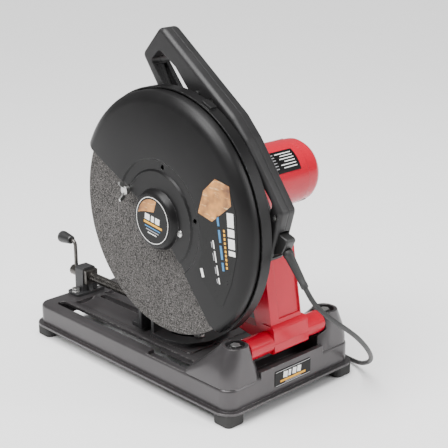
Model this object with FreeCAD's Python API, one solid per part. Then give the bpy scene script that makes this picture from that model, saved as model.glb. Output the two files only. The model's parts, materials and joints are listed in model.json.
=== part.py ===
import FreeCAD, Part
import math
import os

# Abrasive chop saw for 355 mm cut-off wheels, in millimetres.
# +X is the wheel side (the operator's right), +Y is the rear (the pivot side), +Z is up.
# The origin is the centre of the base on the surface that the feet stand on.

V = FreeCAD.Vector
X_AXIS = V(1, 0, 0)
Y_AXIS = V(0, 1, 0)
Z_AXIS = V(0, 0, 1)

# ---------------------------------------------------------------- driving dimensions
BASE_WIDTH = 278.0
BASE_LENGTH = 480.0
FOOT_HEIGHT = 19.0
FLANGE_THICK = 3.5
WALL_INSET = 7.0
DECK_TOP = 57.0
SHEET = 3.0
DECK_THICK = 4.0

WHEEL_RADIUS = 177.5
WHEEL_THICK = 3.0
WHEEL_X = 102.5
SPINDLE_Y = 72.0
SPINDLE_Z = 272.5
PIVOT_Y = 209.5
PIVOT_Z = 96.0
PIVOT_RADIUS = 7.0
TUBE_RADIUS = 17.0
TUBE_HALF = 78.0

GEAR_MODULE = 2.0
GEAR_TEETH = 45
PINION_TEETH = 11
GEAR_CENTRES = GEAR_MODULE * (GEAR_TEETH + PINION_TEETH) / 2.0
MOTOR_ANGLE = math.radians(39.0)
MOTOR_Y = SPINDLE_Y + GEAR_CENTRES * math.cos(MOTOR_ANGLE)
MOTOR_Z = SPINDLE_Z + GEAR_CENTRES * math.sin(MOTOR_ANGLE)
MOTOR_RADIUS = 52.0
MOTOR_END = -136.0
BRUSH_ANGLE = 30.0

GUARD_RADIUS = 190.5
COVER_RADIUS = 187.0
GUARD_BACK = 74.0
COVER_EDGE = 106.0
COVER_FACE = 118.0
SECTOR_LOW = -51.0
SECTOR_HIGH = 153.0

HANDLE_NEAR = 68.0
HANDLE_FAR = 35.0
HANDLE_SEAM = 51.5

SCREW_X = 42.0
SCREW_Z = 88.0
SCREW_RADIUS = 8.0
JAW_FACE = -20.0
CRANK_Y = -240.0
FENCE_FACE = 8.0
BOLT_X = 95.0
CORD_RADIUS = 3.5
CLEAR = 0.3
SPRING_TURNS = 16
SPRING_PITCH = 5.6

parts = {}


# ---------------------------------------------------------------- shape helpers
def box(x0, x1, y0, y1, z0, z1):
    return Part.makeBox(x1 - x0, y1 - y0, z1 - z0, V(x0, y0, z0))


def rod_x(r, x0, x1, y, z):
    return Part.makeCylinder(r, x1 - x0, V(x0, y, z), X_AXIS)


def rod_y(r, y0, y1, x, z):
    return Part.makeCylinder(r, y1 - y0, V(x, y0, z), Y_AXIS)


def rod_z(r, z0, z1, x, y):
    return Part.makeCylinder(r, z1 - z0, V(x, y, z0), Z_AXIS)


def ring_x(outer, inner, x0, x1, y, z):
    return rod_x(outer, x0, x1, y, z).cut(rod_x(inner, x0 - 1, x1 + 1, y, z))


def fuse(shapes):
    return shapes[0].multiFuse(shapes[1:]).removeSplitter()


def on_yz(x):
    return lambda u, v: V(x, u, v)


def on_xy(z):
    return lambda u, v: V(u, v, z)


def on_xz(y):
    return lambda u, v: V(u, y, v)


def corner_arc(before, corner, after, radius):
    """Tangent points and middle of the arc that rounds one corner of an outline."""
    a = (before - corner).normalize()
    b = (after - corner).normalize()
    half = a.getAngle(b) / 2.0
    start = corner + a * (radius / math.tan(half))
    end = corner + b * (radius / math.tan(half))
    centre = corner + (a + b).normalize() * (radius / math.sin(half))
    middle = centre + (corner - centre).normalize() * radius
    return start, middle, end


def outline(corners, place):
    """Closed wire through (u, v, corner radius) points; place turns (u, v) into a 3-D point."""
    flat = [V(c[0], c[1], 0) for c in corners]
    edges = []
    count = len(corners)
    spans = []
    for i in range(count):
        if corners[i][2] > 0:
            spans.append(corner_arc(flat[i - 1], flat[i], flat[(i + 1) % count], corners[i][2]))
        else:
            spans.append((flat[i], None, flat[i]))
    for i in range(count):
        start, middle, end = spans[i]
        if middle is not None:
            arc = Part.Arc(place(start.x, start.y), place(middle.x, middle.y), place(end.x, end.y))
            edges.append(arc.toShape())
        following = spans[(i + 1) % count][0]
        if (following - end).Length > 1e-6:
            edges.append(Part.makeLine(place(end.x, end.y), place(following.x, following.y)))
    return Part.Wire(edges)


def prism(corners, place, direction):
    return Part.Face(outline(corners, place)).extrude(direction)


def plate_yz(corners, x0, x1):
    return prism(corners, on_yz(x0), V(x1 - x0, 0, 0))


def rounded_box(x0, x1, y0, y1, z0, z1, r):
    corners = [(x0, y0, r), (x1, y0, r), (x1, y1, r), (x0, y1, r)]
    return prism(corners, on_xy(z0), V(0, 0, z1 - z0))


def turned(profile, y, z):
    """Solid of revolution about the X direction through (y, z); profile holds (x, radius)."""
    points = [V(x, y + r, z) for x, r in profile]
    points.append(points[0])
    face = Part.Face(Part.makePolygon(points))
    return face.revolve(V(0, y, z), X_AXIS, 360)


def hex_prism(across, length, centre, direction):
    r = across / math.sqrt(3.0)
    points = [V(r * math.cos(math.radians(60 * k)), r * math.sin(math.radians(60 * k)), 0)
              for k in range(6)]
    points.append(points[0])
    solid = Part.Face(Part.makePolygon(points)).extrude(V(0, 0, length))
    solid.Placement = FreeCAD.Placement(centre, FreeCAD.Rotation(Z_AXIS, direction))
    return solid


def sector(radius, x0, x1, low, high):
    """Pie slice about the spindle axis, between two angles measured from +Y towards +Z."""
    points = [V(x0, SPINDLE_Y, SPINDLE_Z)]
    steps = 12
    for k in range(steps + 1):
        angle = math.radians(low + (high - low) * k / steps)
        points.append(V(x0, SPINDLE_Y + radius * math.cos(angle), SPINDLE_Z + radius * math.sin(angle)))
    points.append(points[0])
    return Part.Face(Part.makePolygon(points)).extrude(V(x1 - x0, 0, 0))


def group(shapes):
    return Part.Compound(shapes)


def mirrored_x(shape):
    return shape.mirror(V(0, 0, 0), X_AXIS)


# ---------------------------------------------------------------- base
HALF_W = BASE_WIDTH / 2.0
HALF_L = BASE_LENGTH / 2.0
WALL_X = HALF_W - WALL_INSET
WALL_Y = HALF_L - WALL_INSET
SLOT_LOW = 98.0
SLOT_HIGH = 113.0
SLOT_FRONT = -205.0
SLOT_BACK = 126.0
TROUGH_HALF = 22.0
TROUGH_DEPTH = 7.0
TROUGH_FRONT = -186.0
TROUGH_BACK = -10.0
PAD_TOP = DECK_TOP + 1.5
GUIDE_LOW = 29.0
GUIDE_HIGH = 42.0
FOOT_X = 117.0
FOOT_Y = 218.0
BENCH_X = 84.0
FENCE_PIVOT = (5.0, 30.0)
FENCE_CLAMP = (39.0, 72.0)
FENCE_SWING = 45.0
DEPTH_STOP = (20.0, 158.0)
DEPTH_TOP = 72.0
BRACKET_BOLTS = [(64.4, -214.0), (19.6, -214.0)]


def hump():
    """Rounded pressing at a rear corner that carries one end of the pivot shaft."""
    sections = [
        (56.0, 58.0, 131.5, 128.0, 232.5, 22.0),
        (74.0, 62.0, 130.0, 150.0, 231.5, 22.0),
        (95.0, 69.0, 123.0, 174.0, 230.0, 22.0),
        (112.0, 77.0, 114.0, 190.0, 228.0, 17.0),
    ]
    wires = []
    for z, x0, x1, y0, y1, r in sections:
        wires.append(outline([(x0, y0, r), (x1, y0, r), (x1, y1, r), (x0, y1, r)], on_xy(z)))
    solid = Part.makeLoft(wires, True, False)
    solid = solid.cut(rod_z(14.5, 105.0, 120.0, BOLT_X, PIVOT_Y))
    solid = solid.cut(rod_x(TUBE_RADIUS + 3.0, 40.0, 79.5, PIVOT_Y, PIVOT_Z))
    solid = solid.cut(rod_x(PIVOT_RADIUS + 0.05, 40.0, 116.0, PIVOT_Y, PIVOT_Z))
    return solid.cut(rod_z(4.2, 60.0, 120.0, BOLT_X, PIVOT_Y))


def make_base_shell():
    flange = rounded_box(-HALF_W, HALF_W, -HALF_L, HALF_L, FOOT_HEIGHT, FOOT_HEIGHT + FLANGE_THICK, 26)
    column = rounded_box(-WALL_X, WALL_X, -WALL_Y, WALL_Y, FOOT_HEIGHT, DECK_TOP, 20)
    top_edges = [e for e in column.Edges if e.BoundBox.ZMin > DECK_TOP - 0.1]
    column = column.makeFillet(6.0, top_edges)
    body = flange.fuse(column)
    hollow = rounded_box(-WALL_X + SHEET, WALL_X - SHEET, -WALL_Y + SHEET, WALL_Y - SHEET,
                         FOOT_HEIGHT - 1, DECK_TOP - DECK_THICK, 17)
    body = body.cut(hollow)
    added = []
    troughs = []
    for low in (GUIDE_HIGH + 2, GUIDE_LOW - 2 - 2 * TROUGH_HALF):
        added.append(box(low - 3, low + 2 * TROUGH_HALF + 3, TROUGH_FRONT - 3, TROUGH_BACK + 3,
                         DECK_TOP - TROUGH_DEPTH - SHEET, DECK_TOP - 1))
        radius = (TROUGH_HALF ** 2 + TROUGH_DEPTH ** 2) / (2 * TROUGH_DEPTH)
        troughs.append(rod_y(radius, TROUGH_FRONT, TROUGH_BACK, low + TROUGH_HALF,
                             DECK_TOP - TROUGH_DEPTH + radius))
    bead = rounded_box(87.5, 97.5, -198, 140, DECK_TOP - 2, DECK_TOP + 1.2, 4.9)
    bead = bead.makeFillet(1.1, [e for e in bead.Edges if e.BoundBox.ZMin > DECK_TOP + 1.1])
    added.append(bead)
    added.append(rounded_box(-76, 86.5, 4, 102, DECK_TOP - 1, PAD_TOP, 10))
    added.append(rounded_box(96.5, 130.5, 46, 142, DECK_TOP - 9, DECK_TOP - 1, 8))
    added.append(box(-66, 66, WALL_Y - 8, WALL_Y, DECK_TOP - 8, 66))
    added.append(box(-72, 72, 184, 228, 41, DECK_TOP - 1))
    for sx in (-1, 1):
        for sy in (-1, 1):
            added.append(box(min(sx * 70, sx * 131), max(sx * 70, sx * 131),
                             min(sy * 196, sy * 232), max(sy * 196, sy * 232),
                             FOOT_HEIGHT, FOOT_HEIGHT + FLANGE_THICK))
    right_hump = hump()
    body = fuse([body] + added + [right_hump, mirrored_x(right_hump)])
    cuts = list(troughs)
    cuts.append(rounded_box(SLOT_LOW, SLOT_HIGH, SLOT_FRONT, SLOT_BACK, 10, 90, 7))
    cuts.append(rounded_box(SLOT_LOW, 128.5, 50, 138, DECK_TOP - 6, DECK_TOP + 5, 7))
    cuts.append(rounded_box(GUIDE_LOW, GUIDE_HIGH, -178, TROUGH_BACK - 4, 10, 90, 6))
    cuts.append(rounded_box(-69, 69, 187, 224.5, 44, 80, 10))
    cuts.append(rod_x(TUBE_RADIUS + 3.0, -79.5, 79.5, PIVOT_Y, PIVOT_Z))
    cuts.append(rod_z(3.3, 40, 70, 33.5, 103))
    cuts.append(rod_z(4.1, 40, 70, DEPTH_STOP[0], DEPTH_STOP[1]))
    cuts.append(rod_z(4.2, 40, 70, FENCE_PIVOT[0], FENCE_PIVOT[1]))
    cuts.append(rod_z(4.2, 40, 70, FENCE_CLAMP[0], FENCE_CLAMP[1]))
    for x, y in BRACKET_BOLTS:
        cuts.append(rod_z(4.2, 40, 70, x, y))
    for sx in (-1, 1):
        for sy in (-1, 1):
            cuts.append(rod_z(3.2, 10, 30, sx * FOOT_X, sy * FOOT_Y))
            cuts.append(rod_z(4.5, 10, 30, sx * BENCH_X, sy * FOOT_Y))
    for cut in cuts:
        body = body.cut(cut)
    return body


def make_feet():
    feet = []
    screws = []
    for sx in (-1, 1):
        for sy in (-1, 1):
            x, y = sx * FOOT_X, sy * FOOT_Y
            foot = rounded_box(x - 17.5, x + 17.5, y - 17.5, y + 17.5, 0, FOOT_HEIGHT, 9)
            foot = foot.makeFillet(2.0, [e for e in foot.Edges if e.BoundBox.ZMax < 0.1])
            foot = foot.cut(rod_z(7.5, -1, 7, x, y)).cut(rod_z(3.2, 5, 30, x, y))
            feet.append(foot)
            screw = rod_z(6.5, 4, 7, x, y).fuse(rod_z(3.0, 6, 33, x, y))
            nut = hex_prism(10, 5, V(x, y, FOOT_HEIGHT + FLANGE_THICK), Z_AXIS)
            screws.append(screw.fuse(nut))
    parts["rubber_feet"] = group(feet)
    parts["foot_screws"] = group(screws)


def make_base_hardware():
    label = prism([(-38, 32, 3), (38, 32, 3), (38, 57, 3), (-38, 57, 3)], on_xz(WALL_Y), V(0, 0.8, 0))
    parts["rear_label"] = label
    shaft = rod_x(PIVOT_RADIUS, -112, 112, PIVOT_Y, PIVOT_Z)
    bolts = []
    for sx in (-1, 1):
        shaft = shaft.cut(rod_z(4.2, 80, 110, sx * BOLT_X, PIVOT_Y))
        shank = rod_z(4.0, 76, 106, sx * BOLT_X, PIVOT_Y)
        washer = rod_z(8.5, 105, 106.4, sx * BOLT_X, PIVOT_Y)
        head = hex_prism(13, 5.3, V(sx * BOLT_X, PIVOT_Y, 106.4), Z_AXIS)
        bolts.append(fuse([shank, washer, head]))
    parts["pivot_shaft"] = shaft
    parts["pivot_clamp_bolts"] = group(bolts)
    x, y = DEPTH_STOP
    stop = rod_z(4.0, 46, DEPTH_TOP - 4, x, y).fuse(hex_prism(13, 5, V(x, y, DEPTH_TOP - 5), Z_AXIS))
    stop = stop.fuse(hex_prism(13, 5, V(x, y, DECK_TOP), Z_AXIS))
    parts["depth_stop_bolt"] = stop


def make_vise_bracket():
    foot = rounded_box(12, 72, -230, -198, DECK_TOP, DECK_TOP + 5, 6)
    web = prism([(27, DECK_TOP + 4, 0), (57, DECK_TOP + 4, 0), (55, 104, 5), (29, 104, 5)],
                on_xz(-225), V(0, 21, 0))
    rib = plate_yz([(-206, DECK_TOP + 4, 0), (-199, DECK_TOP + 4, 0), (-206, 80, 0)], 38, 46)
    bracket = fuse([foot, web, rib])
    bracket = bracket.cut(rod_y(SCREW_RADIUS + 0.06, -240, -190, SCREW_X, SCREW_Z))
    for x, y in BRACKET_BOLTS:
        bracket = bracket.cut(rod_z(4.3, 50, 70, x, y))
    parts["vise_bracket"] = bracket
    bolts = []
    for x, y in BRACKET_BOLTS:
        top = DECK_TOP + 5
        bolt = rod_z(7.0, top, top + 1.5, x, y).fuse(hex_prism(12, 5, V(x, y, top + 1.5), Z_AXIS))
        bolt = bolt.fuse(rod_z(4.0, 47, top + 2, x, y))
        bolts.append(bolt.fuse(hex_prism(12, 5, V(x, y, DECK_TOP - DECK_THICK - 5), Z_AXIS)))
    parts["bracket_bolts"] = group(bolts)
    # Split nut on the bracket's rear face, which the screw runs in.
    nut = box(30, 54, -204, -196, 76, 100).cut(rod_y(SCREW_RADIUS + 0.06, -210, -190, SCREW_X, SCREW_Z))
    parts["vise_nut"] = nut


def make_vise_screw():
    screw = rod_y(SCREW_RADIUS, -233, JAW_FACE - 18, SCREW_X, SCREW_Z)
    boss = rod_y(9.0, CRANK_Y - 8, -232, SCREW_X, SCREW_Z)
    screw = screw.fuse(boss)
    for k in range(34):
        y = -192 + 4.5 * k
        groove = rod_y(SCREW_RADIUS + 1, y, y + 1.6, SCREW_X, SCREW_Z)
        screw = screw.cut(groove.cut(rod_y(SCREW_RADIUS - 1.1, y - 1, y + 3, SCREW_X, SCREW_Z)))
    screw = screw.cut(rod_z(3.3, 60, 110, SCREW_X, CRANK_Y))
    screw = screw.fuse(rod_y(5.0, JAW_FACE - 19, JAW_FACE - 7, SCREW_X, SCREW_Z))
    parts["vise_screw"] = screw
    # Crank: a round bar through the boss, bent forward at its top to carry the grip.
    low = V(SCREW_X, CRANK_Y, 62)
    bend = 8.0
    out = V(SCREW_X, CRANK_Y - 40, 141)
    arc = Part.Arc(V(SCREW_X, CRANK_Y, 141 - bend),
                   V(SCREW_X, CRANK_Y - bend * (1 - math.sqrt(0.5)), 141 - bend * (1 - math.sqrt(0.5))),
                   V(SCREW_X, CRANK_Y - bend, 141))
    path = Part.Wire([Part.makeLine(low, V(SCREW_X, CRANK_Y, 141 - bend)), arc.toShape(),
                      Part.makeLine(V(SCREW_X, CRANK_Y - bend, 141), out)])
    section = Part.Wire([Part.makeCircle(3.2, low, Z_AXIS)])
    parts["crank_rod"] = path.makePipeShell([section], True, False)
    knob = [(10.0, 6.5), (12.0, 7.5), (34.0, 10.5), (38.0, 10.0), (40.5, 6.0)]
    points = [V(SCREW_X + r, CRANK_Y - d, 141) for d, r in knob]
    points = [V(SCREW_X, CRANK_Y - 10.0, 141)] + points + [V(SCREW_X, CRANK_Y - 40.5, 141)]
    points.append(points[0])
    grip = Part.Face(Part.makePolygon(points)).revolve(V(SCREW_X, 0, 141), Y_AXIS, 360)
    parts["crank_grip"] = grip.cut(rod_y(3.25, CRANK_Y - 40.2, CRANK_Y, SCREW_X, 141))


def make_jaw():
    """Sliding jaw that the screw pushes towards the fence, guided by a key in the deck's slot."""
    back = JAW_FACE - 8
    low = DECK_TOP + CLEAR
    face = rounded_box(-8, 80, back, JAW_FACE, low, 96, 3)
    sole = rounded_box(0, 78, back - 20, JAW_FACE, low, low + 7, 5)
    socket = rod_y(13, back - 16, back + 1, SCREW_X, SCREW_Z)
    pillar = box(34, 50, back - 16, back + 2, low + 5, 80)
    jaw = fuse([face, sole, socket, pillar])
    jaw = jaw.cut(rod_y(SCREW_RADIUS + 0.3, back - 30, back - 9.5, SCREW_X, SCREW_Z))
    jaw = jaw.cut(rod_y(5.05, back - 12, back + 1.5, SCREW_X, SCREW_Z))
    key = rounded_box(GUIDE_LOW + 0.4, GUIDE_HIGH - 0.4, back - 18, back + 4, 44, low + 3, 5)
    plate = rounded_box(GUIDE_LOW - 6, GUIDE_HIGH + 6, back - 18, back + 4, 41.5, 46.6, 4)
    jaw = fuse([jaw, key, plate])
    parts["vise_jaw"] = jaw


def make_fence():
    """Angle fence: an upright face on a foot plate with a pivot hole and a curved clamp slot."""
    low = PAD_TOP + 0.05
    plate_outline = [(-70, FENCE_FACE, 2), (84, FENCE_FACE, 2), (86, 44, 16), (74, 82, 24),
                     (40, 99, 26), (-5, 92, 30), (-48, 56, 20), (-70, 30, 8)]
    foot = prism(plate_outline, on_xy(low), V(0, 0, 5))
    face = rounded_box(-70, 84, FENCE_FACE, FENCE_FACE + 7, low, 96, 2)
    gusset = plate_yz([(FENCE_FACE + 6, 62, 0), (FENCE_FACE + 34, 62, 0), (FENCE_FACE + 6, 88, 0)], -26, -20)
    fence = fuse([foot, face, gusset, gusset.translated(V(-36, 0, 0))])
    fence = fence.cut(rod_z(4.05, 40, 90, FENCE_PIVOT[0], FENCE_PIVOT[1]))
    reach = math.hypot(FENCE_CLAMP[0] - FENCE_PIVOT[0], FENCE_CLAMP[1] - FENCE_PIVOT[1])
    middle = math.degrees(math.atan2(FENCE_CLAMP[1] - FENCE_PIVOT[1], FENCE_CLAMP[0] - FENCE_PIVOT[0]))
    arc = rod_z(reach + 4.4, 50, 80, FENCE_PIVOT[0], FENCE_PIVOT[1])
    arc = arc.cut(rod_z(reach - 4.4, 50, 80, FENCE_PIVOT[0], FENCE_PIVOT[1]))
    wedge_points = [V(FENCE_PIVOT[0], FENCE_PIVOT[1], 50)]
    for k in range(9):
        angle = math.radians(middle - FENCE_SWING - 5 + (FENCE_SWING + 10) * k / 8)
        wedge_points.append(V(FENCE_PIVOT[0] + 90 * math.cos(angle), FENCE_PIVOT[1] + 90 * math.sin(angle), 50))
    wedge_points.append(wedge_points[0])
    arc = arc.common(Part.Face(Part.makePolygon(wedge_points)).extrude(V(0, 0, 30)))
    parts["fence"] = fence.cut(arc)
    bolts = []
    for x, y in (FENCE_PIVOT, FENCE_CLAMP):
        top = PAD_TOP + 5.2
        bolt = rod_z(8.5, top, top + 1.6, x, y).fuse(hex_prism(13, 5, V(x, y, top + 1.6), Z_AXIS))
        bolt = bolt.fuse(rod_z(4.0, 44, top + 2, x, y))
        bolts.append(bolt.fuse(hex_prism(12, 5, V(x, y, DECK_TOP - DECK_THICK - 5), Z_AXIS)))
    parts["fence_bolts"] = group(bolts)


# ---------------------------------------------------------------- head: castings and motor
GEAR_CASE_LOW = 28.0
GEAR_CASE_HIGH = 62.0
BEARING_LOW = 17.0
LOCK_PIN_X = 48.0
LOCK_PIN_Y = 60.0


def make_arm():
    """Red casting: pivot tube, hollow arm and the cup of the gear case, in one piece."""
    side = [(193, 96, 0), (227, 96, 0), (217, 122, 6), (200, 232, 20), (176, 262, 14),
            (SPINDLE_Y + 40, 268, 0), (SPINDLE_Y, 226, 14), (120, 214, 20), (168, 176, 30)]
    web = plate_yz(side, -34, 30)
    tube = rod_x(TUBE_RADIUS, -TUBE_HALF, TUBE_HALF, PIVOT_Y, PIVOT_Z)
    foot = plate_yz([(192, 80, 6), (228, 80, 6), (224, 122, 8), (196, 122, 8)], -40, 32)
    cup = rod_x(57, GEAR_CASE_LOW, GEAR_CASE_HIGH, SPINDLE_Y, SPINDLE_Z)
    nose = rod_x(36, GEAR_CASE_LOW, GEAR_CASE_HIGH, MOTOR_Y, MOTOR_Z)
    ring = rod_x(MOTOR_RADIUS, 16, GEAR_CASE_LOW + 1, MOTOR_Y, MOTOR_Z)
    lug = plate_yz([(198, 92, 0), (198, 114, 0), (150, 112, 4), (150, 100, 4)], 10, 30)
    # Plate on the gear case that the handle is screwed to.
    plate = plate_yz([(92, 318, 4), (92, 392, 6), (122, 398, 8), (186, 386, 10), (188, 362, 6), (140, 300, 4)],
                     GEAR_CASE_LOW, HANDLE_FAR)
    arm = fuse([web, tube, foot, cup, nose, ring, lug, plate])
    # Hollow of the gear case, open towards the wheel.
    inner = rod_x(52, GEAR_CASE_LOW + 6, GEAR_CASE_HIGH + 1, SPINDLE_Y, SPINDLE_Z)
    inner = inner.fuse(rod_x(29, GEAR_CASE_LOW + 6, GEAR_CASE_HIGH + 1, MOTOR_Y, MOTOR_Z))
    arm = arm.cut(inner)
    arm = arm.cut(rod_x(MOTOR_RADIUS - 4, 15, GEAR_CASE_LOW - 1, MOTOR_Y, MOTOR_Z))
    arm = arm.fuse(rod_x(20.0, BEARING_LOW, GEAR_CASE_LOW + 2, MOTOR_Y, MOTOR_Z))
    arm = arm.cut(rod_x(16.02, -40, GEAR_CASE_LOW, MOTOR_Y, MOTOR_Z))
    arm = arm.cut(rod_x(MOTOR_RADIUS + 0.3, -60, 16, MOTOR_Y, MOTOR_Z))
    arm = arm.cut(rod_x(11.0, 20, 40, MOTOR_Y, MOTOR_Z))
    arm = arm.cut(rod_z(4.06, 310, 335, LOCK_PIN_X, LOCK_PIN_Y))
    arm = arm.cut(rod_x(13.0, 22, 40, SPINDLE_Y, SPINDLE_Z))
    for y, z in HANDLE_SCREWS:
        arm = arm.cut(rod_x(2.2, 20, 40, y, z))
    # Shallow panel in the rear face and a hollow underneath to keep the wall even.
    arm = arm.cut(rod_x(12.0, -TUBE_HALF - 1, TUBE_HALF + 1, PIVOT_Y, PIVOT_Z))
    hollow = plate_yz([(206, 128, 4), (190, 228, 10), (172, 250, 8), (128, 232, 8), (176, 186, 16)],
                      -28, 24)
    arm = arm.cut(hollow)
    panel = Part.makeBox(44, 6, 92, V(-30, 0, 0))
    panel.Placement = FreeCAD.Placement(V(-2, 0, 0), FreeCAD.Rotation())
    lean = math.degrees(math.atan2(17, 110))
    panel.rotate(V(0, 0, 0), X_AXIS, lean)
    panel.translate(V(0, 213.5, 128))
    return arm.cut(panel)


def about_motor(shape):
    """Turns a brush part about the motor's axis to the brushes' angle."""
    return shape.rotated(V(0, MOTOR_Y, MOTOR_Z), X_AXIS, BRUSH_ANGLE)


def make_motor():
    body_low = -104.0
    case = turned([(body_low, 0), (body_low, 50.5), (16, MOTOR_RADIUS), (16, 0)], MOTOR_Y, MOTOR_Z)
    case = case.cut(rod_x(46.5, body_low - 1, 17, MOTOR_Y, MOTOR_Z))
    vents = []
    for k in range(6):
        vents.append(box(-2, 2.5, MOTOR_Y - 60, MOTOR_Y - 38, MOTOR_Z - 24 + 9 * k, MOTOR_Z - 20 + 9 * k))
    for vent in vents:
        case = case.cut(vent)
    parts["motor_housing"] = case
    # Domed end cover with its row of air slots and two brush openings.
    profile = [(body_low - 0.2, 50.3), (-124, 49.0), (-131, 45.0), (-135, 38.0), (MOTOR_END, 30.0),
               (MOTOR_END, 0.0), (MOTOR_END + 3, 0.0), (MOTOR_END + 3, 29.0), (-131.5, 36.5),
               (-128, 42.5), (-122, 46.0), (body_low - 0.2, 47.0)]
    cover = turned(profile, MOTOR_Y, MOTOR_Z)
    cover = cover.fuse(ring_x(14.0, 11.05, -134, -122, MOTOR_Y, MOTOR_Z))
    for k in range(8):
        angle = math.radians(45 * k + 22.5)
        hole = box(-140, -128, -2, 2, 17, 27)
        hole.rotate(V(0, 0, 0), X_AXIS, math.degrees(angle))
        hole.translate(V(0, MOTOR_Y, MOTOR_Z))
        cover = cover.cut(hole)
    for sz in (-1, 1):
        bore = rod_z(8.2, min(0, sz * 60) + MOTOR_Z, max(0, sz * 60) + MOTOR_Z, -114, MOTOR_Y)
        cover = cover.cut(about_motor(bore))
    parts["motor_end_cover"] = cover
    # Field: a laminated ring with two wound poles.
    stator = ring_x(46.3, 38.0, -78, -18, MOTOR_Y, MOTOR_Z)
    poles = box(-78, -18, MOTOR_Y - 42, MOTOR_Y - 28.6, MOTOR_Z - 14, MOTOR_Z + 14)
    poles = poles.fuse(box(-78, -18, MOTOR_Y + 28.6, MOTOR_Y + 42, MOTOR_Z - 14, MOTOR_Z + 14))
    parts["field_stator"] = fuse([stator, poles]).cut(rod_x(28.6, -80, -16, MOTOR_Y, MOTOR_Z))
    holders = []
    brushes = []
    caps = []
    for sz in (-1, 1):
        z_in, z_out = MOTOR_Z + sz * 19.0, MOTOR_Z + sz * 47.0
        holder = rod_z(8.0, min(z_in, z_out), max(z_in, z_out), -114, MOTOR_Y)
        slot = box(-118, -110, MOTOR_Y - 3.2, MOTOR_Y + 3.2, min(z_in, z_out) - 1, max(z_in, z_out) + 1)
        holders.append(about_motor(holder.cut(slot)))
        b0, b1 = MOTOR_Z + sz * 16.8, MOTOR_Z + sz * 34.0
        brush = box(-117.8, -110.2, MOTOR_Y - 3, MOTOR_Y + 3, min(b0, b1), max(b0, b1))
        brushes.append(about_motor(brush))
        c0, c1 = MOTOR_Z + sz * 47.2, MOTOR_Z + sz * 49.8
        cap = rod_z(7.8, min(c0, c1), max(c0, c1), -114, MOTOR_Y)
        s0, s1 = MOTOR_Z + sz * 48.8, MOTOR_Z + sz * 51.0
        cap = cap.cut(box(-121, -107, MOTOR_Y - 0.8, MOTOR_Y + 0.8, min(s0, s1), max(s0, s1)))
        caps.append(about_motor(cap))
    parts["brush_holders"] = group(holders)
    parts["carbon_brushes"] = group(brushes)
    parts["brush_caps"] = group(caps)
    # Data plate on the upper rear of the motor case.
    taper = (MOTOR_RADIUS - 50.5) / (16 - body_low)
    low, high = (50.5 + taper * (x - body_low) for x in (-88, -30))
    plate = turned([(-88, low), (-88, low + 0.7), (-30, high + 0.7), (-30, high)], MOTOR_Y, MOTOR_Z)
    wedge = plate_yz([(MOTOR_Y, MOTOR_Z, 0), (MOTOR_Y + 80, MOTOR_Z + 30, 0), (MOTOR_Y + 50, MOTOR_Z + 90, 0)],
                     -88, -30)
    parts["motor_plate"] = plate.common(wedge)


def gear_outline(teeth, tip, root, x, y, z, phase):
    """Spur gear outline: straight-sided teeth, narrower at the tip, with running backlash."""
    points = []
    step = 2 * math.pi / teeth
    for k in range(teeth):
        middle = phase + step * k
        for radius, half in ((root, 0.27), (tip, 0.12)):
            points.append((radius, middle - half * step))
        for radius, half in ((tip, 0.12), (root, 0.27)):
            points.append((radius, middle + half * step))
    loop = [V(x, y + r * math.cos(a), z + r * math.sin(a)) for r, a in points]
    loop.append(loop[0])
    return Part.Face(Part.makePolygon(loop))


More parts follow.
